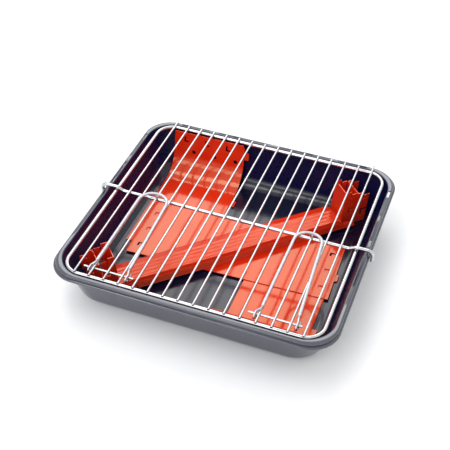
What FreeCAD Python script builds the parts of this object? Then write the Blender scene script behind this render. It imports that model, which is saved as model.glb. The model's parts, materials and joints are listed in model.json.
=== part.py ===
import FreeCAD, Part
import math
import os

# Portable charcoal grill, packed away in its own pan.
# An enamelled steel pan holds three folded wind shield sheets and four bracket legs.
# A chromed wire rack with two coil-sleeved folding handles lies on the rim as a lid.
# All sizes are in millimetres. The origin is the middle of the pan's underside, +Z is up,
# +X is the side with the leg brackets at the back, and +Y is the back.

Vec = FreeCAD.Vector
TOUCH = 1e-6                # lengths under this count as nothing

# pan
PAN_LENGTH = 378.0          # outside of the rolled rim, along X
PAN_DEPTH = 354.0           # outside of the rolled rim, along Y
PAN_HEIGHT = 68.0           # underside to the top of the rim
PAN_SHEET = 1.0
RIM_CORNER_R = 38.0         # outline of the rim, in plan
FLOOR_CORNER_R = 38.0       # outline of the floor, in plan
RIM_WIDTH = 9.0             # rolled rim, outside edge to the wall
RIM_DROP = 7.0              # how far the rolled edge hangs below the rim's top
RIM_CURL = 1.5              # how far the edge curls back under
WALL_INSET = 25.5           # outside edge of the rim to the foot of the wall
FLOOR_BEND_R = 22.0
RIM_INNER_R = 2.5
RIM_OUTER_R = 3.5
CURL_R = 1.0
BEND_STEPS = 6              # facets in each bend of the pan's profile

# slots in the rim that the wind shield's tabs stand in
SLOT_LENGTH = 13.0
SLOT_WIDTH = 3.0
SLOT_FROM_EDGE = 6.0        # outside edge of the rim to the slot's middle
BACK_SLOT_INNER = 54.5      # along X, either side of the middle
BACK_SLOT_OUTER = 134.0
SIDE_SLOT_NEAR = 19.0       # along Y
SIDE_SLOT_FAR = 124.0

# rack
GRATE_COUNT = 16
GRATE_TO_SIDE = 20.0        # outer grate wire to the frame's side wire, middles
GRATE_WIRE_D = 2.8
FRAME_WIRE_D = 5.0
FRAME_SIDE_INSET = 19.0     # rim's outside edge to the side wire's middle
FRAME_END_INSET = 13.0      # rim's outside edge to the front and back wires' middles
FRAME_CORNER_R = 24.0
WELD_SINK = 0.3             # how far crossing wires are pressed into each other
REST_GAP = 0.3              # a piece lies this far off what carries it
GRATE_PAST_BACK = 4.0       # grate wires past the back frame wire's middle
GRATE_PAST_FRONT = 2.0
HOOK_PAST_BACK = 11.5       # the two outer wires reach over the rim
ROD_Y = 2.0
ROD_KINK_INSIDE = 0.5       # side wire's middle to the top of the cross rod's step
ROD_KINK_RUN = 9.5
ROD_KINK_R = 7.0
ROD_END_OUT = 2.8           # rim's outside edge to the middle of the turned-down end
ROD_END_DROP = 16.0
ROD_END_R = 6.5

# handles
HINGE_WIRE_D = 2.8
HINGE_WIRE_LENGTH = 68.0
HINGE_FROM_FRONT = 14.8     # front frame wire's middle to the hinge wire
HANDLE_PITCHES = 5.5        # middle of the rack to the middle of each handle, in grate pitches
HANDLE_WIRE_D = 2.6
HANDLE_LENGTH = 153.2       # hinge to the middle of the wire at the bow
LEFT_LEG_OUT = 19.4         # handle's middle to its left leg, which runs straight back
LEFT_EYE_OUT = 25.2
RIGHT_LEG_OUT = {"left": 26.0, "right": 27.6}       # at the hinge, on each handle
RIGHT_BOW_OUT = {"left": 19.6, "right": 15.8}       # same leg's line at the bow
EYE_WIRE_GAP = 0.3          # hinge wire to the inside of the eye
EYE_FRONT = 7.0             # hinge wire to the corner of the eye's front bend
EYE_BEND_R = 2.9
EYE_TOP_BACK = 2.0          # how far behind the hinge wire the eye's top bends up to the grip
EYE_TAIL_FLAT = 2.5         # how far behind the hinge wire the tail starts to rise
EYE_TAIL_BACK = 6.5         # hinge wire to the end of the tail
EYE_TAIL_RISE = 3.0
EYE_TAIL_ASIDE = 1.8        # tail's end beside the eye, towards +X
GRIP_FROM_HINGE = 6.2       # hinge wire to where the leg reaches the level of the grip
FOOT_BEND_R = 2.4

# coil sleeve on the handle's wire
COIL_WIRE_D = 1.2
COIL_GAP = 0.3              # coil to the wire it is on
COIL_TURNS = 48
POINTS_PER_ARC = 4          # for measuring the gap between turns, four arcs to a turn
COIL_START = 0.2            # coil's end after the foot's last bend

# wind shield sheets
SHEET = 1.0
SHIELD_WIDTH = 110.0
LEFT_SHIELD_IN = 15.2       # foot of the left wall to the sheet that stands at the back
RIGHT_SHIELD_IN = 13.6      # foot of the right wall to the tabs of the one that stands at the front
SHIELD_LIFT = 1.05          # sheets above the floor, where their edges ride up its bend
SHIELD_TOP_INSET = 18.5     # rim's outside edge to the sheet's upper end
SHIELD_TOP_DROP = 3.0       # rim's top to the sheet's upper end
SHIELD_LEAN = 8.0           # degrees off upright
SHIELD_BEND_R = 42.0
SHIELD_LENGTH = 224.0       # along the sheet
SHIELD_CORNER = 5.0
TAB_LENGTH = 12.0
TAB_OUT = 7.0
TAB_NECK = 1.6              # undercut beside a tab's foot
TAB_FROM_END = 17.0         # sheet's end to the middle of the first tab
TAB_ROUND_CORNER = 84.0     # along the sheet, first tab to the second
TAB_SIDE = 105.0            # second tab to the third
HOOK_SLOT_FROM_END = 6.5
HOOK_SLOT_LONG = 9.0
HOOK_SLOT_FOOT = 7.0
HOOK_SLOT_WIDTH = 2.6
HOOK_SLOT_PITCH = 33.0
HOOK_SLOT_FROM_EDGE = 13.0
SPIT_HOLE_D = 6.0
SPIT_HOLE_FROM_END = 30.0
SPIT_HOLE_SHIFT = 16.0      # spit hole past its hook slot, across the sheet

BACK_SHIELD_LENGTH = 286.0
BACK_SHIELD_WIDTH = 106.0
BACK_SHIELD_X = 3.0
BACK_SHIELD_Y = 11.0
BACK_SHIELD_TURN = 2.0      # degrees
BACK_SLOT_FROM_END = 10.0
BACK_SLOT_FROM_EDGE = 18.0
BACK_SLOT_LEG = 7.0
BACK_SLOT_ARM = 7.5

# bracket legs, nested in each other
LEG_COUNT = 4
LEG_SHEET = 1.0
LEG_FRONT = 17.0            # leg's middle line to its front fold
LEG_FLAT = 26.0             # width of the leg's flat top
LEG_BEVEL = 11.0            # rear strip of the top, bent down
LEG_BEVEL_DROP = 2.0
LEG_FLANGE = 5.5            # height of the front flange
LEG_FLANGE_LEAN = 25.0      # degrees off upright, so that the legs stack
LEG_LENGTH = 324.0          # foot to bracket
NEST_STEP = 3.2             # each leg under the one before
BUNDLE_TURN = 43.5          # degrees from +X
BUNDLE_X = -3.7
BUNDLE_Y = 3.6
BRACKET_GAP = 5.0           # leg's foot to the bracket at its end
BRACKET_STEP = 19.8         # outer bracket past the inner one
BRACKET_FRONT = 14.7        # leg's middle line to the bracket's front side
BRACKET_WIDTH = 30.4
BRACKET_HEIGHT = 48.0
BRACKET_LEAN = 5.0          # degrees, away from the leg
BRACKET_FOOT = 4.0          # how far the front side reaches below the leg's top
BRACKET_BACK_FOOT = 0.5     # foot of the back side above the leg's top
BRACKET_SIDE = 17.6         # depth of the bracket's two sides
TOOTH_TOP = 43.0
FINGER_WIDTH = 7.6
TOP_NOTCH_WIDTH = 1.8
TOP_NOTCH_DEPTH = 6.7
SIDE_NOTCH_HEIGHT = 15.5    # lower edge of the side notch above the leg's top
SIDE_NOTCH_WIDTH = 3.5
SIDE_NOTCH_DEPTH = 10.0
SIDE_NOTCH_DROP = 8.0
SIDE_NOTCH_FOOT = 2.4


# places that follow from the sizes above
FRAME_LENGTH = PAN_LENGTH - 2 * FRAME_SIDE_INSET
FRAME_DEPTH = PAN_DEPTH - 2 * FRAME_END_INSET
GRATE_PITCH = (FRAME_LENGTH - 2 * GRATE_TO_SIDE) / (GRATE_COUNT - 1)
HANDLE_X = HANDLE_PITCHES * GRATE_PITCH
SHIELD_TOP_Y = PAN_DEPTH / 2 - SHIELD_TOP_INSET
SHIELD_TOP_Z = PAN_HEIGHT - SHIELD_TOP_DROP
BRACKET_SPAN = LEG_LENGTH + BRACKET_GAP
LEFT_SHIELD_X = WALL_INSET + LEFT_SHIELD_IN + (SHIELD_WIDTH - PAN_LENGTH) / 2
RIGHT_SHIELD_X = (PAN_LENGTH - SHIELD_WIDTH) / 2 - WALL_INSET - RIGHT_SHIELD_IN - TAB_OUT
SIDE_SHIELD_Z = PAN_SHEET + SHIELD_LIFT
BACK_SHIELD_Z = SIDE_SHIELD_Z + SHEET + REST_GAP
LOWEST_LEG_Z = BACK_SHIELD_Z + SHEET + REST_GAP
TOP_LEG_Z = LOWEST_LEG_Z + LEG_FLANGE + (LEG_COUNT - 1) * NEST_STEP
GRATE_Z = PAN_HEIGHT + REST_GAP + GRATE_WIRE_D / 2
FRAME_Z = GRATE_Z - (GRATE_WIRE_D + FRAME_WIRE_D) / 2 + WELD_SINK
ROD_OVER_Z = FRAME_Z + FRAME_WIRE_D - WELD_SINK
HINGE_Z = GRATE_Z - (GRATE_WIRE_D + HINGE_WIRE_D) / 2 + WELD_SINK
HINGE_Y = HINGE_FROM_FRONT - FRAME_DEPTH / 2
COIL_MEAN_R = HANDLE_WIRE_D / 2 + COIL_GAP + COIL_WIRE_D / 2
GRIP_Z = GRATE_Z + GRATE_WIRE_D / 2 + REST_GAP + COIL_MEAN_R + COIL_WIRE_D / 2


def arc_through(start, tangent, end):
    """Arc edge from start to end that leaves start along tangent."""
    chord = end - start
    side = chord - tangent * chord.dot(tangent)
    if side.Length < TOUCH:
        return Part.LineSegment(start, end).toShape()
    side.normalize()
    radius = chord.Length ** 2 / (2 * chord.dot(side))
    centre = start + side * radius
    middle_way = (start - centre) + (end - centre)
    middle_way.normalize()
    return Part.Arc(start, centre + middle_way * radius, end).toShape()


def rounded_path(points, radii):
    """Edges of straight runs joined by arcs, one radius for each inner point."""
    edges = []
    here = points[0]
    for before, corner, after, radius in zip(points, points[1:], points[2:], radii):
        way_in = (corner - before).normalize()
        way_out = (after - corner).normalize()
        half_turn = way_in.getAngle(way_out) / 2
        back_off = radius * math.tan(half_turn)
        arc_start = corner - way_in * back_off
        arc_end = corner + way_out * back_off
        if (arc_start - here).Length > TOUCH:
            edges.append(Part.LineSegment(here, arc_start).toShape())
        edges.append(arc_through(arc_start, way_in, arc_end))
        here = arc_end
    if (points[-1] - here).Length > TOUCH:
        edges.append(Part.LineSegment(here, points[-1]).toShape())
    return edges


def tube(edges, diameter):
    """Round wire along a path of lines and arcs."""
    start = edges[0].firstVertex().Point
    way = edges[0].tangentAt(edges[0].FirstParameter)
    ring = Part.Wire([Part.Circle(start, way, diameter / 2).toShape()])
    return Part.Wire(edges).makePipeShell([ring], True, False)


def straight_wire(start, end, diameter):
    return Part.makeCylinder(diameter / 2, (end - start).Length, start, end - start)


def box_between(low, high):
    return Part.makeBox(high.x - low.x, high.y - low.y, high.z - low.z, low)


def plate(outline, direction, thickness):
    """Closed outline swept along direction by thickness."""
    face = Part.Face(Part.makePolygon(list(outline) + [outline[0]]))
    return face.extrude(direction * thickness)


# pan

def profile_line():
    """Middle of the pan's sheet as (inset from the rim's edge, height) points."""
    half = PAN_SHEET / 2
    top = PAN_HEIGHT - half
    corners = [
        Vec(WALL_INSET + 2 * FLOOR_BEND_R, half, 0),
        Vec(WALL_INSET, half, 0),
        Vec(RIM_WIDTH - half, top, 0),
        Vec(half + RIM_DROP / 5, top, 0),
        Vec(half, PAN_HEIGHT - RIM_DROP, 0),
        Vec(half + RIM_CURL, PAN_HEIGHT - RIM_DROP - half, 0),
    ]
    bends = [FLOOR_BEND_R, RIM_INNER_R, RIM_OUTER_R, CURL_R]
    points = []
    for edge in rounded_path(corners, bends):
        steps = 1 if edge.Curve.TypeId == "Part::GeomLine" else BEND_STEPS
        points.extend(edge.discretize(steps + 1)[:-1])
    points.append(corners[-1])
    return points


def pan_outline(inset, height):
    """Rounded rectangle around the pan at an inset from the rim's edge."""
    half_x = PAN_LENGTH / 2 - inset
    half_y = PAN_DEPTH / 2 - inset
    radius = RIM_CORNER_R + (FLOOR_CORNER_R - RIM_CORNER_R) * inset / WALL_INSET
    return rounded_rectangle(half_x, half_y, radius, height)


def rounded_rectangle(half_x, half_y, radius, height):
    """Closed wire of four lines and four quarter arcs."""
    edges = []
    diagonal = radius * math.sqrt(0.5)
    for turn in range(4):
        angle = math.pi / 2 * turn
        reach_x, reach_y = (half_x, half_y) if turn % 2 == 0 else (half_y, half_x)
        spin = FreeCAD.Rotation(Vec(0, 0, 1), math.degrees(angle))
        run_start = Vec(reach_x, radius - reach_y, 0)
        run_end = Vec(reach_x, reach_y - radius, 0)
        centre = Vec(reach_x - radius, reach_y - radius, 0)
        arc_middle = centre + Vec(diagonal, diagonal, 0)
        arc_end = centre + Vec(0, radius, 0)
        lift = Vec(0, 0, height)
        spots = [spin.multVec(p) + lift for p in (run_start, run_end, arc_middle, arc_end)]
        edges.append(Part.LineSegment(spots[0], spots[1]).toShape())
        edges.append(Part.Arc(spots[1], spots[2], spots[3]).toShape())
    return Part.Wire(edges)


def make_pan():
    """Pan drawn as a loft up the inside, over the rolled rim and down the outside."""
    middle = profile_line()
    normals = []
    for i, here in enumerate(middle):
        before = middle[max(i - 1, 0)]
        after = middle[min(i + 1, len(middle) - 1)]
        way = (after - before).normalize()
        normals.append(Vec(way.y, -way.x, 0))
    normals[0] = Vec(0, 1, 0)
    half = PAN_SHEET / 2
    inside = [p + n * half for p, n in zip(middle, normals)]
    outside = [p - n * half for p, n in zip(middle, normals)]
    rings = [pan_outline(p.x, p.y) for p in inside + outside[::-1]]
    pan = Part.makeLoft(rings, True, True)
    for spot, along_x in rim_slots():
        half_x, half_y = SLOT_LENGTH / 2, SLOT_WIDTH / 2
        if not along_x:
            half_x, half_y = half_y, half_x
        low = Vec(spot.x - half_x, spot.y - half_y, PAN_HEIGHT - RIM_DROP / 2)
        high = Vec(spot.x + half_x, spot.y + half_y, PAN_HEIGHT + PAN_SHEET)
        pan = pan.cut(box_between(low, high))
    return pan


def rim_slots():
    """Middles of the rim's slots, with True for those that run along X."""
    back_y = PAN_DEPTH / 2 - SLOT_FROM_EDGE
    side_x = PAN_LENGTH / 2 - SLOT_FROM_EDGE
    slots = []
    for x in (BACK_SLOT_INNER, BACK_SLOT_OUTER):
        slots += [(Vec(-x, back_y, 0), True), (Vec(x, back_y, 0), True)]
    for y in (SIDE_SLOT_NEAR, SIDE_SLOT_FAR):
        slots += [(Vec(-side_x, y, 0), False), (Vec(side_x, y, 0), False)]
    return slots


# rack

def grate_xs():
    first = -GRATE_PITCH * (GRATE_COUNT - 1) / 2
    return [first + GRATE_PITCH * i for i in range(GRATE_COUNT)]


def make_grate_wires():
    wires = []
    xs = grate_xs()
    for x in xs:
        past = HOOK_PAST_BACK if x in (xs[0], xs[-1]) else GRATE_PAST_BACK
        start = Vec(x, -FRAME_DEPTH / 2 - GRATE_PAST_FRONT, GRATE_Z)
        end = Vec(x, FRAME_DEPTH / 2 + past, GRATE_Z)
        wires.append(straight_wire(start, end, GRATE_WIRE_D))
    return wires


def make_frame_wire():
    ring = rounded_rectangle(FRAME_LENGTH / 2, FRAME_DEPTH / 2, FRAME_CORNER_R, FRAME_Z)
    return tube(ring.Edges, FRAME_WIRE_D)


def make_cross_rod():
    """Rod under the grate that steps up over the frame and turns down outside the rim."""
    end_x = PAN_LENGTH / 2 + ROD_END_OUT
    kink_x = FRAME_LENGTH / 2 - ROD_KINK_INSIDE
    half = [(end_x, ROD_OVER_Z - ROD_END_DROP), (end_x, ROD_OVER_Z),
            (kink_x, ROD_OVER_Z), (kink_x - ROD_KINK_RUN, FRAME_Z)]
    points = [Vec(-x, ROD_Y, z) for x, z in half]
    points += [Vec(x, ROD_Y, z) for x, z in half[::-1]]
    bends = [ROD_END_R, ROD_KINK_R, ROD_KINK_R]
    return tube(rounded_path(points, bends + bends[::-1]), FRAME_WIRE_D)


def make_hinge_wire(middle_x):
    half = Vec(HINGE_WIRE_LENGTH / 2, 0, 0)
    middle = Vec(middle_x, HINGE_Y, HINGE_Z)
    return straight_wire(middle - half, middle + half, HINGE_WIRE_D)


# handles

def foot_corners(eye_x, grip_x, bend):
    """Corners from the tail's end round the hinge wire and up to the grip."""
    low = HINGE_Z - bend
    high = HINGE_Z + bend
    tail_x = eye_x + EYE_TAIL_ASIDE
    return [
        Vec(tail_x, HINGE_Y + EYE_TAIL_BACK, low + EYE_TAIL_RISE),
        Vec(tail_x, HINGE_Y + EYE_TAIL_FLAT, low),
        Vec(eye_x, HINGE_Y - EYE_FRONT, low),
        Vec(eye_x, HINGE_Y - EYE_FRONT, high),
        Vec(eye_x, HINGE_Y + EYE_TOP_BACK, high),
        Vec(grip_x, HINGE_Y + GRIP_FROM_HINGE, GRIP_Z),
    ]


def handle_path(side, middle_x):
    """Middle line of a handle's wire: eye, leg, bow, leg, eye."""
    bend = HINGE_WIRE_D / 2 + EYE_WIRE_GAP + HANDLE_WIRE_D / 2
    bow_y = HINGE_Y + HANDLE_LENGTH
    narrow = (RIGHT_LEG_OUT[side] - RIGHT_BOW_OUT[side]) / HANDLE_LENGTH
    right_grip = RIGHT_LEG_OUT[side] - narrow * GRIP_FROM_HINGE
    left_foot = foot_corners(middle_x - LEFT_EYE_OUT, middle_x - LEFT_LEG_OUT, bend)
    right_foot = foot_corners(middle_x + RIGHT_LEG_OUT[side], middle_x + right_grip, bend)
    bow = [Vec(middle_x - LEFT_LEG_OUT, bow_y, GRIP_Z),
           Vec(middle_x + RIGHT_BOW_OUT[side], bow_y, GRIP_Z)]
    half_turns = math.pi / 4, math.pi / 4 + math.atan(narrow) / 2
    bow_width = (bow[1] - bow[0]).Length
    bow_r = bow_width / sum(math.tan(turn) for turn in half_turns) - TOUCH
    foot_bends = [FOOT_BEND_R, EYE_BEND_R, EYE_BEND_R, FOOT_BEND_R, FOOT_BEND_R]
    bends = foot_bends + [bow_r, bow_r] + foot_bends[::-1]
    return rounded_path(left_foot + bow + right_foot[::-1], bends)


def grip_edges(path):
    """The flat stretch of the path that the coil is wound on."""
    flat = [e for e in path if all(abs(v.Z - GRIP_Z) < TOUCH for v in e.Vertexes)]
    start, leave = [v.Point for v in flat[0].Vertexes]
    arrive, end = [v.Point for v in flat[-1].Vertexes]
    start += (leave - start).normalize() * COIL_START
    end += (arrive - end).normalize() * COIL_START
    flat[0] = Part.LineSegment(start, leave).toShape()
    flat[-1] = Part.LineSegment(arrive, end).toShape()
    return flat


def coil_spot(edges, share, turns, radius):
    """Point and direction of the coil at a share of the way along the path."""
    total = sum(e.Length for e in edges)
    left = share * total
    for edge in edges:
        if left <= edge.Length or edge is edges[-1]:
            break
        left -= edge.Length
    at = edge.getParameterByLength(min(left, edge.Length))
    way = edge.tangentAt(at)
    aside = Vec(0, 0, 1).cross(way)
    angle = 2 * math.pi * turns * share
    out = aside * math.cos(angle) + Vec(0, 0, 1) * math.sin(angle)
    swing = Vec(0, 0, 1) * math.cos(angle) - aside * math.sin(angle)
    heading = way * (total / (2 * math.pi * turns)) + swing * radius
    return edge.valueAt(at) + out * radius, heading.normalize()


def make_coil(path):
    """Spring wire wound on the grip, as two arcs for each half turn."""
    edges = grip_edges(path)
    steps = 2 * COIL_TURNS
    spots = [coil_spot(edges, i / steps, COIL_TURNS, COIL_MEAN_R) for i in range(steps + 1)]
    wound = [Part.LineSegment(spots[0][0] - spots[0][1] * COIL_WIRE_D, spots[0][0]).toShape()]
    for (start, leave), (end, arrive) in zip(spots, spots[1:]):
        chord = end - start
        both = leave + arrive
        bend = 2 * (1 - leave.dot(arrive))
        reach = (math.sqrt(chord.dot(both) ** 2 + bend * chord.dot(chord)) - chord.dot(both)) / bend
        joint = (start + leave * reach + end - arrive * reach) * 0.5
        middle_way = (joint - start - leave * reach).normalize()
        wound.append(arc_through(start, leave, joint))
        wound.append(arc_through(joint, middle_way, end))
    wound.append(Part.LineSegment(spots[-1][0], spots[-1][0] + spots[-1][1] * COIL_WIRE_D).toShape())
    print_least_gap(wound)
    return tube(wound, COIL_WIRE_D)


def print_least_gap(wound):
    """Prints the least gap between a coil's turns, measured on points along its middle line."""
    points = [p for e in wound for p in e.discretize(POINTS_PER_ARC + 1)[:-1]]
    turn = 4 * POINTS_PER_ARC
    least = min(
        (points[i] - points[j]).Length
        for i in range(len(points))
        for j in range(i + turn // 2 + 1, min(i + 5 * turn // 2, len(points)))
    )
    print("coil: turns", COIL_TURNS, "least gap to itself", round(least - COIL_WIRE_D, 2), "mm")


# wind shield sheets

def side_shield_spots():
    """Straights and bend of a side sheet as (y, z) of its middle: top, wall end, floor end, foot."""
    lean = math.radians(SHIELD_LEAN)
    floor_z = SIDE_SHIELD_Z + SHEET / 2
    bend_z = floor_z + SHIELD_BEND_R
    leave_z = bend_z - SHIELD_BEND_R * math.sin(lean)
    wall_run = (SHIELD_TOP_Z - leave_z) / math.cos(lean)
    bend_y = SHIELD_TOP_Y - wall_run * math.sin(lean) - SHIELD_BEND_R * math.cos(lean)
    bend_run = SHIELD_BEND_R * (math.pi / 2 - lean)
    floor_run = SHIELD_LENGTH - wall_run - bend_run
    return wall_run, bend_run, floor_run, bend_y, bend_z, lean


def sheet_outline_at(run, wall_run, bend_run, bend_y, bend_z, lean):
    """Point (y, z) and direction angle of the sheet's middle at a run from its top end."""
    if run < wall_run:
        y = SHIELD_TOP_Y - run * math.sin(lean)
        z = SHIELD_TOP_Z - run * math.cos(lean)
        return y, z, lean
    if run < wall_run + bend_run:
        angle = lean + (run - wall_run) / SHIELD_BEND_R
        y = bend_y + SHIELD_BEND_R * math.cos(angle)
        z = bend_z - SHIELD_BEND_R * math.sin(angle)
        return y, z, angle
    y = bend_y - (run - wall_run - bend_run)
    return y, bend_z - SHIELD_BEND_R, math.pi / 2


def standing_piece(run, across_low, across_high, length, spots):
    """Block through the sheet, square to it, centred at a run from the top end."""
    wall_run, bend_run, _, bend_y, bend_z, lean = spots
    y, z, angle = sheet_outline_at(run, wall_run, bend_run, bend_y, bend_z, lean)
    along = Vec(0, -math.sin(angle), -math.cos(angle))
    through = Vec(0, math.cos(angle), -math.sin(angle))
    middle = Vec(0, y, z)
    corners = [
        middle + Vec(across_low, 0, 0) - along * length / 2,
        middle + Vec(across_high, 0, 0) - along * length / 2,
        middle + Vec(across_high, 0, 0) + along * length / 2,
        middle + Vec(across_low, 0, 0) + along * length / 2,
    ]
    return corners, through


def make_side_shield():
    """Bent sheet with its end up the back wall, around X = 0."""
    spots = side_shield_spots()
    wall_run, bend_run, floor_run, bend_y, bend_z, lean = spots
    half = SHEET / 2
    wall_way = Vec(0, math.cos(lean), -math.sin(lean))
    top = Vec(0, SHIELD_TOP_Y, SHIELD_TOP_Z)
    leave = Vec(0, bend_y + SHIELD_BEND_R * math.cos(lean), bend_z - SHIELD_BEND_R * math.sin(lean))
    mid_angle = (lean + math.pi / 2) / 2
    mid_way = Vec(0, math.cos(mid_angle), -math.sin(mid_angle))
    centre = Vec(0, bend_y, bend_z)
    floor_start = Vec(0, bend_y, bend_z - SHIELD_BEND_R)
    floor_end = floor_start - Vec(0, floor_run, 0)
    down = Vec(0, 0, -1)
    outer_r = SHIELD_BEND_R + half
    inner_r = SHIELD_BEND_R - half
    edges = [
        Part.LineSegment(top + wall_way * half, leave + wall_way * half),
        Part.Arc(leave + wall_way * half, centre + mid_way * outer_r, floor_start + down * half),
        Part.LineSegment(floor_start + down * half, floor_end + down * half),
        Part.LineSegment(floor_end + down * half, floor_end - down * half),
        Part.LineSegment(floor_end - down * half, floor_start - down * half),
        Part.Arc(floor_start - down * half, centre + mid_way * inner_r, leave - wall_way * half),
        Part.LineSegment(leave - wall_way * half, top - wall_way * half),
        Part.LineSegment(top - wall_way * half, top + wall_way * half),
    ]
    side = Part.Face(Part.Wire([e.toShape() for e in edges]))
    side.translate(Vec(-SHIELD_WIDTH / 2, 0, 0))
    sheet = side.extrude(Vec(SHIELD_WIDTH, 0, 0))
    return add_tabs_and_slots(sheet, spots)


def add_tabs_and_slots(sheet, spots):
    """Tabs on the +X edge, hook slots and spit holes near the top end, cut corners."""
    edge = SHIELD_WIDTH / 2
    second = TAB_FROM_END + TAB_ROUND_CORNER
    for run in (TAB_FROM_END, second, second + TAB_SIDE):
        corners, through = standing_piece(run, edge - SHEET, edge + TAB_OUT, TAB_LENGTH, spots)
        sheet = sheet.fuse(plate([c - through * SHEET / 2 for c in corners], through, SHEET))
    for i in range(3):
        across = edge - HOOK_SLOT_FROM_EDGE - SPIT_HOLE_SHIFT - HOOK_SLOT_PITCH * i
        sheet = sheet.cut(hook_slot(across, spots))
        sheet = sheet.cut(spit_hole(across + SPIT_HOLE_SHIFT, spots))
    return sheet.cut(corner_cut(edge, spots)).removeSplitter()


def hook_slot(across, spots):
    """L-shaped slot: a leg along the sheet and a foot towards the tabs."""
    leg_run = HOOK_SLOT_FROM_END + HOOK_SLOT_LONG / 2
    foot_run = HOOK_SLOT_FROM_END + HOOK_SLOT_LONG - HOOK_SLOT_WIDTH / 2
    leg, through = standing_piece(leg_run, across, across + HOOK_SLOT_WIDTH, HOOK_SLOT_LONG, spots)
    foot, _ = standing_piece(foot_run, across, across + HOOK_SLOT_FOOT, HOOK_SLOT_WIDTH, spots)
    cut = plate([c - through * SHEET for c in leg], through, 2 * SHEET)
    return cut.fuse(plate([c - through * SHEET for c in foot], through, 2 * SHEET))


def spit_hole(across, spots):
    """Round hole square through the sheet."""
    wall_run, bend_run, _, bend_y, bend_z, lean = spots
    y, z, angle = sheet_outline_at(SPIT_HOLE_FROM_END, wall_run, bend_run, bend_y, bend_z, lean)
    through = Vec(0, math.cos(angle), -math.sin(angle))
    start = Vec(across, y, z) - through * SHEET
    return Part.makeCylinder(SPIT_HOLE_D / 2, 2 * SHEET, start, through)


def corner_cut(edge, spots):
    """Wedge that clips the top corner beside the tabs."""
    corners, through = standing_piece(0.0, edge - SHIELD_CORNER, edge, 2 * SHIELD_CORNER, spots)
    wedge = [corners[0], corners[1], corners[2]]
    return plate([c - through * SHEET for c in wedge], through, 2 * SHEET)


def make_back_shield():
    """Flat sheet on top of the two bent ones, turned a little as it was dropped in."""
    half_x = BACK_SHIELD_LENGTH / 2
    half_y = BACK_SHIELD_WIDTH / 2
    sheet = box_between(Vec(-half_x, -half_y, 0), Vec(half_x, half_y, SHEET))
    for x in (-BACK_SLOT_INNER, BACK_SLOT_INNER):
        low = Vec(x - TAB_LENGTH / 2, half_y - SHEET, 0)
        sheet = sheet.fuse(box_between(low, Vec(x + TAB_LENGTH / 2, half_y + TAB_OUT, SHEET)))
    for x in (-half_x + BACK_SLOT_FROM_END, half_x - BACK_SLOT_FROM_END - BACK_SLOT_ARM):
        for i in range(3):
            y = half_y - BACK_SLOT_FROM_EDGE - HOOK_SLOT_PITCH * i
            arm_low = Vec(x, y - HOOK_SLOT_WIDTH, -SHEET)
            arm = box_between(arm_low, Vec(x + BACK_SLOT_ARM, y, 2 * SHEET))
            leg_low = Vec(x, y - BACK_SLOT_LEG, -SHEET)
            leg = box_between(leg_low, Vec(x + HOOK_SLOT_WIDTH, y, 2 * SHEET))
            sheet = sheet.cut(arm).cut(leg)
    sheet = sheet.removeSplitter()
    sheet.rotate(Vec(0, 0, 0), Vec(0, 0, 1), BACK_SHIELD_TURN)
    sheet.translate(Vec(BACK_SHIELD_X, BACK_SHIELD_Y, BACK_SHIELD_Z))
    return sheet


# bracket legs

def leg_bar():
    """Leg's top with a bent rear strip, and its leaning front flange, running back from s = 0."""
    t = LEG_SHEET
    lean = math.radians(LEG_FLANGE_LEAN)
    back = LEG_FLAT - LEG_FRONT

    def skin(height):
        return -LEG_FRONT - height * math.tan(lean)

    inside = t / math.cos(lean)
    section = [
        Vec(0, skin(0), 0), Vec(0, back, 0), Vec(0, back + LEG_BEVEL, -LEG_BEVEL_DROP),
        Vec(0, back + LEG_BEVEL, -LEG_BEVEL_DROP - t), Vec(0, back, -t),
        Vec(0, skin(t) + inside, -t), Vec(0, skin(LEG_FLANGE) + inside, -LEG_FLANGE),
        Vec(0, skin(LEG_FLANGE), -LEG_FLANGE),
    ]
    return plate(section, Vec(-1, 0, 0), LEG_LENGTH)


def bracket_side(lowest, lower_tooth):
    """Toothed side of the bracket as an outline in (s, height) above the leg's top."""
    lean = math.tan(math.radians(BRACKET_LEAN))

    def inner(height):
        return max(height, 0) * lean - LEG_SHEET

    def outer(height):
        return BRACKET_SIDE + height * lean

    finger_end = BRACKET_HEIGHT * lean + FINGER_WIDTH
    tooth_start = finger_end + TOP_NOTCH_WIDTH
    notch_foot = TOOTH_TOP - TOP_NOTCH_DEPTH
    notch_in = outer(SIDE_NOTCH_HEIGHT) - SIDE_NOTCH_DEPTH
    notch_top = SIDE_NOTCH_HEIGHT + SIDE_NOTCH_WIDTH
    foot = [(notch_in, lowest)]
    if lower_tooth:
        hook = notch_in + SIDE_NOTCH_FOOT
        hook_foot = SIDE_NOTCH_HEIGHT - SIDE_NOTCH_DROP
        foot = [(outer(lowest), lowest), (outer(SIDE_NOTCH_HEIGHT), SIDE_NOTCH_HEIGHT),
                (hook, SIDE_NOTCH_HEIGHT), (hook, hook_foot), (notch_in, hook_foot)]
    outline = [(inner(lowest), lowest)] + foot + [
        (notch_in, notch_top), (outer(notch_top), notch_top), (outer(TOOTH_TOP), TOOTH_TOP),
        (tooth_start, TOOTH_TOP), (tooth_start, notch_foot), (finger_end, notch_foot),
        (finger_end, BRACKET_HEIGHT), (inner(BRACKET_HEIGHT), BRACKET_HEIGHT),
    ]
    if lowest < 0:
        outline.append((inner(0), 0))
    return [Vec(s, 0, h) for s, h in outline]


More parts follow.
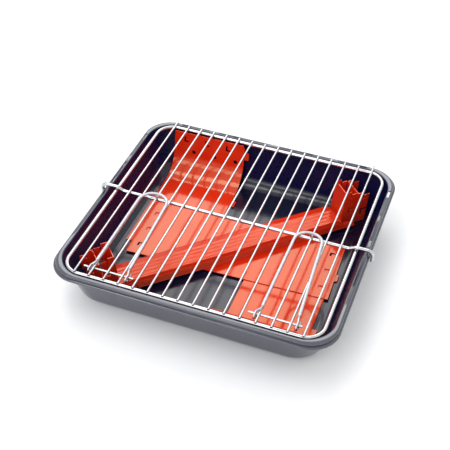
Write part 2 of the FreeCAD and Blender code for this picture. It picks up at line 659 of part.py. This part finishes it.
def make_leg():
    """Leg with its bracket at +s, in its own (s, q, height) frame."""
    t = LEG_SHEET
    lean = math.tan(math.radians(BRACKET_LEAN))
    low = -1.5 * t
    front = Vec(0, -BRACKET_FRONT, 0)
    across = Vec(0, 1, 0)
    face = [Vec(low * lean - t, 0, low), Vec(low * lean, 0, low),
            Vec(BRACKET_HEIGHT * lean, 0, BRACKET_HEIGHT),
            Vec(BRACKET_HEIGHT * lean - t, 0, BRACKET_HEIGHT)]
    web = plate([p + front for p in face], across, BRACKET_WIDTH)
    near = plate([p + front for p in bracket_side(-BRACKET_FOOT, True)], across, t)
    back = front + across * (BRACKET_WIDTH - t)
    far = plate([p + back for p in bracket_side(BRACKET_BACK_FOOT, False)], across, t)
    return leg_bar().fuse([web, near, far]).removeSplitter()


def place_leg(shape, number):
    """Nested place of leg number 0 (top) to 3, heads at alternate ends."""
    reach = BRACKET_SPAN / 2 + BRACKET_STEP * (number // 2)
    shape = shape.copy()
    shape.translate(Vec(reach, 0, TOP_LEG_Z - NEST_STEP * number))
    if number % 2 == 0:
        shape = shape.mirror(Vec(0, 0, 0), Vec(1, 0, 0))
    shape.rotate(Vec(0, 0, 0), Vec(0, 0, 1), BUNDLE_TURN)
    shape.translate(Vec(BUNDLE_X, BUNDLE_Y, 0))
    return shape


def build():
    """All pieces by name."""
    pieces = {"pan": make_pan()}
    grate = make_grate_wires()
    all_grate = Part.makeCompound(grate)
    rod = make_cross_rod()
    pieces["frame_wire"] = make_frame_wire().cut(all_grate).cut(rod)
    pieces["cross_rod"] = rod.cut(all_grate)
    for number, wire in enumerate(grate, start=1):
        pieces["grate_wire_%02d" % number] = wire
    for side, sign in (("left", -1), ("right", 1)):
        middle_x = sign * HANDLE_X
        path = handle_path(side, middle_x)
        pieces["hinge_wire_" + side] = make_hinge_wire(middle_x).cut(all_grate)
        pieces["handle_" + side] = tube(path, HANDLE_WIRE_D)
        pieces["handle_coil_" + side] = make_coil(path)
    bent = make_side_shield()
    left = bent.copy()
    left.translate(Vec(LEFT_SHIELD_X, 0, 0))
    right = bent.mirror(Vec(0, 0, 0), Vec(0, 1, 0))
    right.translate(Vec(RIGHT_SHIELD_X, 0, 0))
    pieces["wind_shield_left"] = left
    pieces["wind_shield_right"] = right
    pieces["wind_shield_back"] = make_back_shield()
    leg = make_leg()
    for number in range(LEG_COUNT):
        pieces["bracket_leg_%d" % (number + 1)] = place_leg(leg, number)
    return pieces


def main():
    os.makedirs("parts", exist_ok=True)
    for name, shape in build().items():
        solids = shape.Solids
        if len(solids) == 1:
            shape = solids[0]
        box = shape.BoundBox
        print("%-20s solids %d valid %s volume %.0f box %.1f %.1f %.1f to %.1f %.1f %.1f" % (
            name, len(solids), shape.isValid(), shape.Volume,
            box.XMin, box.YMin, box.ZMin, box.XMax, box.YMax, box.ZMax))
        shape.exportStep(os.path.join("parts", name + ".step"))


main()
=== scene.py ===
import json
import math

import bpy
import numpy as np
from mathutils import Matrix, Vector


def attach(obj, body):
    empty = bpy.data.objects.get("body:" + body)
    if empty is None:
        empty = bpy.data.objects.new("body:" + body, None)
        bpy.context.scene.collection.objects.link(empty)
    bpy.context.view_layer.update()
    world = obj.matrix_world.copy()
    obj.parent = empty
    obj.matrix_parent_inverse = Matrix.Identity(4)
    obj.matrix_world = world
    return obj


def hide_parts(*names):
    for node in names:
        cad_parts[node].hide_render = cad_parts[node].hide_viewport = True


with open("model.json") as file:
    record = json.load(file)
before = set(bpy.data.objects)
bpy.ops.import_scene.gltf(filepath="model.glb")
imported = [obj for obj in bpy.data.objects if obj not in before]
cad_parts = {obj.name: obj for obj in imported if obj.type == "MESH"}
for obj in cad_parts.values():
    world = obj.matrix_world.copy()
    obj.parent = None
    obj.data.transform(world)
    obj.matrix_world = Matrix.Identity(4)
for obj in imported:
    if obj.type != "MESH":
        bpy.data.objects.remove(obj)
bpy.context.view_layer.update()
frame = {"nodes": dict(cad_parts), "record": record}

MM = 0.001

# driving sizes of the pan, in mm
PAN_LENGTH = 378.0
PAN_DEPTH = 354.0
PAN_HEIGHT = 68.0
PAN_SHEET = 1.0
CORNER_R = 38.0
RIM_WIDTH = 8.8             # outside edge to the top of the wall
RIM_FLAT_OUT = 2.6          # outside edge to the outer corner of the rim's top
WALL_INSET = 25.5
FLOOR_BEND_R = 22.0
WALL_TOP_R = 1.7
RIM_EDGE_R = 2.1
CREASE_R = 0.7
BEAD_R = 0.9
BEAD_DEPTH = 3.0            # outside edge to the crease above the bead
CREASE_DROP = 5.2           # rim's top to that crease
BEAD_SHOULDER = 0.5         # crease down to the bead's outside
BEAD_DROP = 7.6             # rim's top to the middle of the bead's underside
BEAD_RETURN = 2.0           # how far the bead's underside turns in
WALL_GLAZE_FROM_Z = 11.0          # the inside walls take the bluer, less glossy copy of the glaze from here up
RIM_COAT_DROP = 1.2         # rim's top to the edge of the paler grey copy of the glaze
CORNER_CLEAR = 1.0          # plain straight run kept beside each corner
CORNER_POINTS = 17          # points round each corner of the pan
BEND_STEPS = 12             # faces round each bend of its sheet
# inside floor, inside walls, and the paler grey copy of the glaze outside and on the rim's top
FLOOR_COAT, WALL_COAT, PALE_COAT = range(3)

# slots in the rim, in mm
SLOT_LENGTH = 13.0
SLOT_INSET = (4.4, 7.4)     # rim's outside edge to the slot's two long sides
BACK_SLOTS = (-134.0, -54.5, 54.5, 134.0)
SIDE_SLOTS = (19.0, 124.0)

# handles, in mm
HANDLE_X = 110.0
HINGE_Y = -149.2
GRIP_START = 8.0            # hinge to the coil's end
HANDLE_LENGTH = 153.2
LEFT_LEG_OUT = 19.4
RIGHT_LEG_OUT = {"left": 26.0, "right": 27.6}
RIGHT_BOW_OUT = {"left": 19.6, "right": 15.8}
GRIP_Z = 74.2
COIL_WIRE_D = 0.8
COIL_MEAN_R = 1.75
COIL_PITCH = 0.82
COIL_STEPS = 12             # points along each turn
COIL_SIDES = 8              # points round the coil's wire
BOW_STEPS = 40              # points along each bend of the bow
SAME_POINT = 0.01           # points nearer than this are one

# bars of the nested legs, in mm
LEG_COUNT = 4
TOP_LEG_Z = 19.75
NEST_STEP = 3.2             # each leg under the one before
BUNDLE_MIDDLE = (-3.7, 3.6)
BUNDLE_TURN = 43.5          # degrees from +X
LEG_LENGTH = 324.0
BRACKET_SPAN = 329.0
BRACKET_STEP = 19.8         # outer bracket past the inner one
LEG_FRONT = 17.0            # leg's middle line to its front fold
LEG_BACK = 9.0              # leg's middle line to the fold of its rear strip
LEG_BEVEL = (11.0, 2.0)     # width and drop of the rear strip
LEG_FLANGE = 5.5
LEG_FLANGE_LEAN = 25.0      # degrees off upright
LEG_CLEAR = 0.5             # bare end of the bar in front of its bracket
SKIN_OVER = 0.30            # rolled surface over the plain bar
FLANGE_SKIN = 0.10          # the same on the front flange, clear of the leg above
SKIN_UNDER = 0.4            # its underside, inside the plain bar's sheet
FLANGE_UNDER = 0.5          # the same behind the flange's face
FRONT_FOLD_R = 0.5
ROLL_DEPTH = 0.19           # the waves rise and fall by this
ROLL_PITCH = 6.5            # lengthwise waves that rolling left in the strip
ROLL_FADE = 2.0             # the waves fade out over this width beside the folds
HEM_HEIGHT = 0.35
HEM_MIDDLE = 0.9            # share of the flange's fall
HEM_SPREAD = 0.08           # share of the flange's fall
END_BAND = 0.2              # short rows of faces at the bar's ends
TOP_POINTS = 97
REAR_POINTS = 9
FOLD_POINTS = 5
FLANGE_POINTS = 25

# the photograph's camera
CAMERA_AZIMUTH = 20.124
CAMERA_ELEVATION = 42.223
CAMERA_ROLL = 0.647
CAMERA_AIM_MM = (-3.73, -17.19, 70.0)
CAMERA_DISTANCE_MM = 1251.87
CAMERA_LENS_MM = 75.9
SENSOR_MM = 36.0

# light
WORLD_LIGHT = 1.05          # strength of the white surroundings as a light
SOFTBOX_AIM = (0, 0, 0.07)
# place in m, width and height in m, power in W
SOFTBOXES = {
    "key": ((-0.43, 1.19, 1.21), (1.15, 0.85), 8.4),
    "overhead": ((-0.38, -0.22, 1.35), (1.0, 0.22), 2.8),
    "front_fill": ((-0.6, -1.15, 0.95), (1.3, 0.4), 4.0),
}

TABLE_REACH = 4000.0        # middle of the table to its edges, in mm
TONE_RUN = (0.3, 0.7)       # values of a noise at which a finish has its deep and its pale tone


def linear(hex_colour):
    """sRGB hex colour to a linear RGBA tuple."""
    srgb = [int(hex_colour[i:i + 2], 16) / 255 for i in (1, 3, 5)]
    return tuple(c / 12.92 if c <= 0.04045 else ((c + 0.055) / 1.055) ** 2.4 for c in srgb) + (1.0,)


# materials

def add(tree, kind, settings=None, **inputs):
    """Adds a node. settings are its own properties, inputs its sockets' values or the sockets to link."""
    node = tree.nodes.new(kind)
    for key, value in (settings or {}).items():
        setattr(node, key, value)
    for key, value in inputs.items():
        name = key.replace("_", " ")
        socket = node.inputs[int(name)] if name.isdigit() else node.inputs[name]
        if isinstance(value, bpy.types.NodeSocket):
            tree.links.new(value, socket)
        else:
            socket.default_value = value
    return node


def new_finish(name, tones, patch, grain=None, roughness=None, bump=None, **constants):
    """Material whose colour runs between two tones in cloudy patches, and whose roughness runs between two
    values in its grains. patch and grain are the size in mm and the detail of a noise, and without a grain
    the patches serve for both. bump is the strength and the height in mm of the grains."""
    material = bpy.data.materials.new(name)
    material.use_nodes = True
    tree = material.node_tree
    shader = tree.nodes["Principled BSDF"]
    place = add(tree, "ShaderNodeTexCoord").outputs["Object"]
    noises = [add(tree, "ShaderNodeTexNoise", Vector=place, Scale=1 / (size * MM), Detail=detail)
              for size, detail in ([patch, grain] if grain else [patch])]
    patches = noises[0].outputs["Fac"]
    grains = noises[-1].outputs["Fac"]
    colour = add(tree, "ShaderNodeValToRGB", Fac=patches)
    for element, value, tone in zip(colour.color_ramp.elements, TONE_RUN, tones):
        element.position = value
        element.color = linear(tone)
    tree.links.new(colour.outputs["Color"], shader.inputs["Base Color"])
    if bump:
        strength, height = bump
        bumps = add(tree, "ShaderNodeBump", Strength=strength, Distance=height * MM, Height=grains)
        tree.links.new(bumps.outputs["Normal"], shader.inputs["Normal"])
    if roughness:
        rough = add(tree, "ShaderNodeMapRange", Value=grains, To_Min=roughness[0], To_Max=roughness[1])
        tree.links.new(rough.outputs["Result"], shader.inputs["Roughness"])
    for socket, value in constants.items():
        shader.inputs[socket.replace("_", " ")].default_value = value
    return material


def vitreous_enamel(name, tones, roughness, gloss):
    """Enamel fired on pressed steel. The glaze pools over centimetres, which shifts its depth a little, and
    the fired glass keeps a ripple of a few millimetres. gloss is its refractive index."""
    return new_finish(name, tones, patch=(35, 2.0), grain=(6, 3.0), roughness=roughness, bump=(0.08, 0.12),
                      IOR=gloss)


def red_enamel():
    """Red enamel paint baked on sheet steel: glossy, with the orange peel of sprayed paint, drawn at 2.5 mm
    so that it shows. Its gloss carries a painted warm tint, which turns its highlights orange."""
    return new_finish("red_baked_enamel", ("#db2b0e", "#e53110"), patch=(30, 2.0), grain=(2.5, 2.0),
                      roughness=(0.07, 0.12), bump=(0.04, 0.05), IOR=1.58,
                      Specular_Tint=(1.0, 1.0, 0.62, 1.0))


def chromed_steel(name, tones, cloud, roughness):
    """Chrome plate on drawn steel wire, its shine faintly clouded. cloud is the clouds' size in mm."""
    return new_finish(name, tones, patch=(cloud, 3.0), roughness=roughness, Metallic=1.0)


# meshes

def make_object(name, vertices, faces, *materials):
    """Mesh object from an array of vertices in mm and a list of faces, shaded smooth."""
    mesh = bpy.data.meshes.new(name)
    mesh.from_pydata((vertices * MM).tolist(), [], faces)
    mesh.polygons.foreach_set("use_smooth", [True] * len(mesh.polygons))
    for material in materials:
        mesh.materials.append(material)
    piece = bpy.data.objects.new(name, mesh)
    bpy.context.scene.collection.objects.link(piece)
    return piece


def unit(vectors):
    """Vectors brought to length one."""
    return vectors / np.linalg.norm(vectors, axis=-1, keepdims=True)


def rounded_line(corners, radii, steps):
    """Points of a polyline in a plane whose inner corners are arcs c + R * (cos a, sin a)."""
    corners = np.asarray(corners, float)
    points = [corners[0]]
    for before, corner, after, radius in zip(corners, corners[1:], corners[2:], radii):
        way_in = unit(corner - before)
        way_out = unit(after - corner)
        turn = math.atan2(way_in[0] * way_out[1] - way_in[1] * way_out[0], way_in @ way_out)
        start = corner - way_in * radius * math.tan(abs(turn) / 2)
        side = np.array([-way_in[1], way_in[0]]) * math.copysign(1.0, turn)
        centre = start + side * radius
        angles = np.arctan2(-side[1], -side[0]) + np.linspace(0, turn, steps + 1)
        points.extend(centre + radius * np.stack([np.cos(angles), np.sin(angles)], -1))
    points.append(corners[-1])
    return np.array(points)


def helix_mesh(line, mean_radius, wire_radius, turns, steps_per_turn, sides):
    """Wire wound round a line. The wire's middle is line(t) + R * (cos a * side + sin a * over) with
    a = 2 pi * turns * t, and its own ring lies in the plane of the outward and the lengthwise direction."""
    run = np.r_[0, np.cumsum(np.linalg.norm(np.diff(line, axis=0), axis=1))]
    share = np.linspace(0, 1, int(turns * steps_per_turn) + 1)
    spot = np.stack([np.interp(share * run[-1], run, line[:, k]) for k in range(3)], -1)
    way = unit(np.gradient(spot, axis=0))
    side = unit(np.cross(np.broadcast_to([0.0, 0.0, 1.0], way.shape), way))
    over = np.cross(way, side)
    angle = (2 * np.pi * turns * share)[:, None]
    out = np.cos(angle) * side + np.sin(angle) * over
    middle = spot + mean_radius * out
    turn = np.arange(sides) * 2 * np.pi / sides
    ring = np.cos(turn)[None, :, None] * out[:, None, :] + np.sin(turn)[None, :, None] * way[:, None, :]
    vertices = (middle[:, None, :] + wire_radius * ring).reshape(-1, 3)
    i, j = np.meshgrid(np.arange(len(middle) - 1), np.arange(sides), indexing="ij")
    k = (j + 1) % sides
    quads = np.stack([i * sides + j, i * sides + k, (i + 1) * sides + k, (i + 1) * sides + j], -1)
    return vertices, quads.reshape(-1, 4).tolist()


def grip_line(side, middle_x):
    """Middle line of a handle's grip: the straight left leg, the bow and the leaning right leg."""
    bow_y = HINGE_Y + HANDLE_LENGTH
    start_y = HINGE_Y + GRIP_START
    lean = (RIGHT_LEG_OUT[side] - RIGHT_BOW_OUT[side]) / HANDLE_LENGTH
    bow_width = LEFT_LEG_OUT + RIGHT_BOW_OUT[side]
    bow_r = bow_width / (1 + math.tan(math.pi / 4 + math.atan(lean) / 2))
    corners = [(-LEFT_LEG_OUT, start_y), (-LEFT_LEG_OUT, bow_y), (RIGHT_BOW_OUT[side], bow_y),
               (RIGHT_LEG_OUT[side] - lean * GRIP_START, start_y)]
    flat = rounded_line(corners, [bow_r, bow_r], BOW_STEPS)
    keep = np.r_[True, np.linalg.norm(np.diff(flat, axis=0), axis=1) > SAME_POINT]
    flat = flat[keep]
    return np.column_stack([middle_x + flat[:, 0], flat[:, 1], np.full(len(flat), GRIP_Z)])


def add_coil(side, middle_x, material):
    """Coil sleeve wound tight on the handle's grip."""
    line = grip_line(side, middle_x)
    length = np.linalg.norm(np.diff(line, axis=0), axis=1).sum()
    turns = round(length / COIL_PITCH)
    vertices, faces = helix_mesh(line, COIL_MEAN_R, COIL_WIRE_D / 2, turns, COIL_STEPS, COIL_SIDES)
    piece = make_object("coil_sleeve_" + side, vertices, faces, material)
    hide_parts("handle_coil_" + side)
    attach(piece, side + "_handle")


def bar_section():
    """Outline of the bar's rolled surface as (q, height) from the rear edge over the top to the front
    flange's foot, and on round the underside. The top waves by d * cos(2 pi q / p), and the flange's hem
    stands out by h * exp(-((f - m) / s)^2) at the share f of its fall. Returns the outline, and how many
    of its points lie on the surface."""
    lean = math.tan(math.radians(LEG_FLANGE_LEAN))
    width, drop = LEG_BEVEL
    q = np.linspace(LEG_BACK, -LEG_FRONT, TOP_POINTS)
    fade = np.clip(np.minimum(LEG_BACK - q, LEG_FRONT + q) / ROLL_FADE, 0, 1)
    top = np.column_stack([q, SKIN_OVER + fade * ROLL_DEPTH * np.cos(2 * np.pi * q / ROLL_PITCH)])
    share = np.linspace(1, 0, REAR_POINTS)[:-1, None]
    rear = np.array([LEG_BACK, SKIN_OVER]) + share * np.array([width, -drop])
    fall = np.linspace(0, 1, FLANGE_POINTS)[1:]
    hem = HEM_HEIGHT * np.exp(-((fall - HEM_MIDDLE) / HEM_SPREAD) ** 2)
    flange = np.column_stack([-LEG_FRONT - FLANGE_SKIN - fall * LEG_FLANGE * lean - hem,
                              SKIN_OVER - fall * (LEG_FLANGE + SKIN_OVER)])
    # the fold's arc stops short of the top and the flange, whose two nearest points it stands in for
    turn = np.linspace(0.15, 0.85, FOLD_POINTS) * math.pi / 2
    fold = np.column_stack([-LEG_FRONT - FLANGE_SKIN + FRONT_FOLD_R - FRONT_FOLD_R * np.sin(turn),
                            SKIN_OVER - FRONT_FOLD_R + FRONT_FOLD_R * np.cos(turn)])
    surface = np.concatenate([rear, top[:-2], fold, flange[2:]])
    underside = np.array([[-LEG_FRONT - LEG_FLANGE * lean + FLANGE_UNDER, -LEG_FLANGE],
                          [FLANGE_UNDER - LEG_FRONT, -SKIN_UNDER],
                          [LEG_BACK, -SKIN_UNDER],
                          [LEG_BACK + width, -SKIN_UNDER - drop]])
    return np.concatenate([surface, underside]), len(surface)


def add_bar(number, material):
    """Rolled surface of one nested leg's bar, a prism over the plain bar of the solid."""
    section, surface_count = bar_section()
    length = LEG_LENGTH - LEG_CLEAR
    reach = BRACKET_SPAN / 2 + BRACKET_STEP * (number // 2) - LEG_CLEAR
    stops = reach - np.array([0, END_BAND, length - END_BAND, length])
    facing = -1 if number % 2 == 0 else 1
    turn = math.radians(BUNDLE_TURN)
    count = len(section)
    along = facing * np.repeat(stops, count)
    across = np.tile(section[:, 0], len(stops))
    height = np.tile(section[:, 1], len(stops)) + TOP_LEG_Z - NEST_STEP * number
    vertices = np.column_stack([
        BUNDLE_MIDDLE[0] + along * math.cos(turn) - across * math.sin(turn),
        BUNDLE_MIDDLE[1] + along * math.sin(turn) + across * math.cos(turn),
        height,
    ])
    last = (len(stops) - 1) * count
    faces = [tuple(range(count)), tuple(reversed(range(last, last + count)))]
    smooth = [False, False]
    # flat besides the two ends: the hem's foot and the underside as far as the rear fold
    hem_foot = surface_count - 3
    rear_fold = count - 3
    for row in range(len(stops) - 1):
        for j in range(count):
            k = (j + 1) % count
            faces.append((row * count + k, row * count + j, (row + 1) * count + j, (row + 1) * count + k))
            smooth.append(not hem_foot <= j <= rear_fold)
    if facing > 0:
        faces = [face[::-1] for face in faces]
    piece = make_object("rolled_bar_%d" % (number + 1), vertices, faces, material)
    piece.data.polygons.foreach_set("use_smooth", smooth)
    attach(piece, "leg_%d" % (number + 1))


def pan_profile():
    """Middle line of the pan's sheet as (inset, height): floor, wall, rim and beaded lip."""
    half = PAN_SHEET / 2
    top = PAN_HEIGHT - half
    bead_foot = PAN_HEIGHT - BEAD_DROP
    corners = [
        (WALL_INSET + 2 * FLOOR_BEND_R, half),
        (WALL_INSET, half),
        (RIM_WIDTH - half, top),
        (RIM_FLAT_OUT, top),
        (BEAD_DEPTH, PAN_HEIGHT - CREASE_DROP),
        (half, PAN_HEIGHT - CREASE_DROP - BEAD_SHOULDER),
        (half, bead_foot),
        (half + BEAD_RETURN, bead_foot),
    ]
    radii = [FLOOR_BEND_R, WALL_TOP_R, RIM_EDGE_R, CREASE_R, BEAD_R, BEAD_R]
    line = rounded_line(corners, radii, BEND_STEPS)
    # rows at the slots' long sides, so that the slots can be cut between them
    for inset in SLOT_INSET:
        after = np.flatnonzero(line[:, 0] < inset)[0]
        before = after - 1
        share = (line[before, 0] - inset) / (line[before, 0] - line[after, 0])
        line = np.insert(line, after, line[before] + share * (line[after] - line[before]), axis=0)
    return line


def outline_points(inset):
    """Rounded rectangle at an inset, as corner arcs c + r * (cos a, sin a) and points at the slots' ends,
    which close up where the straight run between the corners is shorter than at the slots."""
    half_x = PAN_LENGTH / 2 - inset
    half_y = PAN_DEPTH / 2 - inset
    half_slot = SLOT_LENGTH / 2
    end = CORNER_R + CORNER_CLEAR
    share_x = min(1, (half_x - end) / (PAN_LENGTH / 2 - SLOT_INSET[1] - end))
    share_y = min(1, (half_y - end) / (PAN_DEPTH / 2 - SLOT_INSET[1] - end))
    back = [(x + step) * share_x for x in BACK_SLOTS[::-1] for step in (half_slot, -half_slot)]
    up = [(y + step) * share_y for y in SIDE_SLOTS for step in (-half_slot, half_slot)]
    runs = [
        [(half_x, y) for y in up],
        [(x, half_y) for x in back],
        [(-half_x, y) for y in up[::-1]],
        [],
    ]
    points = []
    for corner, run in enumerate(runs):
        centre_x = half_x - CORNER_R if corner in (0, 3) else CORNER_R - half_x
        centre_y = half_y - CORNER_R if corner < 2 else CORNER_R - half_y
        angles = np.linspace(0, np.pi / 2, CORNER_POINTS) + corner * np.pi / 2
        arc = np.stack([centre_x + CORNER_R * np.cos(angles), centre_y + CORNER_R * np.sin(angles)], -1)
        points += run + arc.tolist()
    return np.array(points)


def slot_columns():
    """Numbers of the outline points at which a slot starts."""
    columns = []
    at = 0
    for count in (len(SIDE_SLOTS), len(BACK_SLOTS), len(SIDE_SLOTS), 0):
        columns += [at + 2 * i for i in range(count)]
        at += 2 * count + CORNER_POINTS
    return set(columns)


def pan_mesh():
    """Sheet drawn round the profile: point (i, j) is outline j at the profile's inset i, half a sheet
    thickness along the profile's normal to either side. Returns vertices, faces and each face's coat."""
    line = pan_profile()
    way = unit(np.gradient(line, axis=0))
    normal = np.stack([way[:, 1], -way[:, 0]], -1)
    normal[0] = (0.0, 1.0)
    sides = []
    for sign in (1, -1):
        rings = []
        for inset, z in line + sign * PAN_SHEET / 2 * normal:
            ring = outline_points(inset)
            rings.append(np.column_stack([ring, np.full(len(ring), z)]))
        sides.append(rings)
    sides = np.array(sides)
    rows, around = sides.shape[1:3]
    under = rows * around
    low, high = [np.flatnonzero(np.isclose(line[:, 0], inset))[0] for inset in SLOT_INSET]
    rim_row = np.flatnonzero(line[:, 1] > PAN_HEIGHT - RIM_COAT_DROP)[0]
    slot_starts = slot_columns()
    faces = []
    coats = []

    def quad(a, b, c, d, coat):
        """Adds a face of four points and its coat."""
        faces.append((a, b, c, d))
        coats.append(coat)

    for i in range(rows - 1):
        inside = FLOOR_COAT if line[i, 1] < WALL_GLAZE_FROM_Z else WALL_COAT if i < rim_row else PALE_COAT
        for j in range(around):
            k = (j + 1) % around
            here, right = i * around + j, i * around + k
            up, across = here + around, right + around
            if high <= i < low and j in slot_starts:
                if i == high:
                    quad(under + here, under + right, right, here, PALE_COAT)
                if i == low - 1:
                    quad(under + across, under + up, up, across, PALE_COAT)
                quad(under + up, under + here, here, up, PALE_COAT)
                quad(under + right, under + across, across, right, PALE_COAT)
                continue
            quad(up, across, right, here, inside)
            quad(under + here, under + right, under + across, under + up, PALE_COAT)
    last = (rows - 1) * around
    for j in range(around):
        k = (j + 1) % around
        quad(under + last + j, under + last + k, last + k, last + j, PALE_COAT)
    # the floor's two faces
    faces.append(tuple(range(around)))
    faces.append(tuple(under + j for j in reversed(range(around))))
    coats += [FLOOR_COAT, PALE_COAT]
    return sides.reshape(-1, 3), faces, coats


def add_pan(*finishes_by_coat):
    """Pressed pan with its rounded rim, beaded lip and slots."""
    vertices, faces, coats = pan_mesh()
    piece = make_object("pressed_pan", vertices, faces, *finishes_by_coat)
    piece.data.polygons.foreach_set("material_index", coats)
    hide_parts("pan")
    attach(piece, "pan")


# scene

def add_camera():
    """Camera at the photograph's place, turned by its small roll."""
    azimuth = math.radians(CAMERA_AZIMUTH)
    elevation = math.radians(CAMERA_ELEVATION)
    roll = math.radians(CAMERA_ROLL)
    back = Vector((math.sin(azimuth) * math.cos(elevation),
                   -math.cos(azimuth) * math.cos(elevation), math.sin(elevation)))
    level = (-back).cross(Vector((0, 0, 1))).normalized()
    above = level.cross(-back)
    right = level * math.cos(roll) + above * math.sin(roll)
    up = above * math.cos(roll) - level * math.sin(roll)
    place = (Vector(CAMERA_AIM_MM) + back * CAMERA_DISTANCE_MM) * MM
    camera_data = bpy.data.cameras.new("camera")
    camera_data.lens = CAMERA_LENS_MM
    camera_data.sensor_width = SENSOR_MM
    camera_data.clip_start = 0.01
    camera = bpy.data.objects.new("camera", camera_data)
    turn = Matrix((right, up, back)).transposed().to_4x4()
    camera.matrix_world = Matrix.Translation(place) @ turn
    bpy.context.scene.collection.objects.link(camera)
    bpy.context.scene.camera = camera


def add_softbox(name, place, size, watts):
    """Rectangular softbox aimed at the grill."""
    light = bpy.data.lights.new(name, "AREA")
    light.shape = "RECTANGLE"
    light.size, light.size_y = size
    light.energy = watts
    lamp = bpy.data.objects.new(name, light)
    lamp.location = place
    lamp.rotation_euler = (Vector(SOFTBOX_AIM) - Vector(place)).to_track_quat("-Z", "Y").to_euler()
    bpy.context.scene.collection.objects.link(lamp)


def add_floor():
    """Pale matt table top."""
    corners = TABLE_REACH * np.array([[-1, -1, 0], [1, -1, 0], [1, 1, 0], [-1, 1, 0]])
    material = new_finish("pale_matt_table", ("#f5f6f8", "#f8f8fa"), patch=(40, 2.0), Roughness=0.7)
    floor = make_object("table_top", corners, [(0, 1, 2, 3)], material)


def light_world():
    """Surroundings that are seen and mirrored as white."""
    world = bpy.data.worlds.new("studio")
    bpy.context.scene.world = world
    world.use_nodes = True
    tree = world.node_tree
    path = add(tree, "ShaderNodeLightPath")
    seen = path.outputs["Is Camera Ray"]
    for ray in ("Is Glossy Ray", "Is Transmission Ray"):
        sockets = {"0": seen, "1": path.outputs[ray]}
        seen = add(tree, "ShaderNodeMath", {"operation": "MAXIMUM"}, **sockets).outputs[0]
    strength = add(tree, "ShaderNodeMapRange", Value=seen, To_Min=WORLD_LIGHT, To_Max=1.0)
    tree.nodes["Background"].inputs["Color"].default_value = (1.0, 1.0, 1.0, 1.0)
    tree.links.new(strength.outputs["Result"], tree.nodes["Background"].inputs["Strength"])


def finish_nodes():
    """Gives each CAD node the material of its record slot."""
    finishes = {
        # blue-black glass inside, with a bluer, less glossy copy of it on the inside walls; outside and on
        # the rim's top a paler grey copy of the same glass
        "black_enamel": vitreous_enamel("black_vitreous_enamel", ("#0b0e26", "#10142e"), (0.10, 0.20), 1.5),
        "wall_glaze": vitreous_enamel("blue_vitreous_enamel", ("#0a1036", "#0e143e"), (0.22, 0.34), 1.28),
        "pale_coat": vitreous_enamel("grey_vitreous_enamel", ("#323542", "#393c4a"), (0.05, 0.11), 1.85),
        "red_enamel": red_enamel(),
        # the straight wire is a mirror, and the wound spring wire paler, cooler and duller
        "chromed_wire": chromed_steel("chromed_steel_wire", ("#bcbdc1", "#d2d3d6"), 9, (0.06, 0.14)),
        "spring_wire": chromed_steel("chromed_spring_wire", ("#dadce1", "#e8eaee"), 4, (0.24, 0.34)),
    }
    slots = {p["node"]: p["material_slot"] for p in frame["record"]["subparts"]}
    for name, node in frame["nodes"].items():
        node.data.materials.clear()
        node.data.materials.append(finishes[slots[name]])
    return finishes


finishes = finish_nodes()
add_pan(finishes["black_enamel"], finishes["wall_glaze"], finishes["pale_coat"])
add_coil("left", -HANDLE_X, finishes["spring_wire"])
add_coil("right", HANDLE_X, finishes["spring_wire"])
for number in range(LEG_COUNT):
    add_bar(number, finishes["red_enamel"])
add_floor()
light_world()
for name, (place, size, watts) in SOFTBOXES.items():
    add_softbox(name, place, size, watts)
add_camera()
bpy.context.scene.view_settings.view_transform = "Standard"
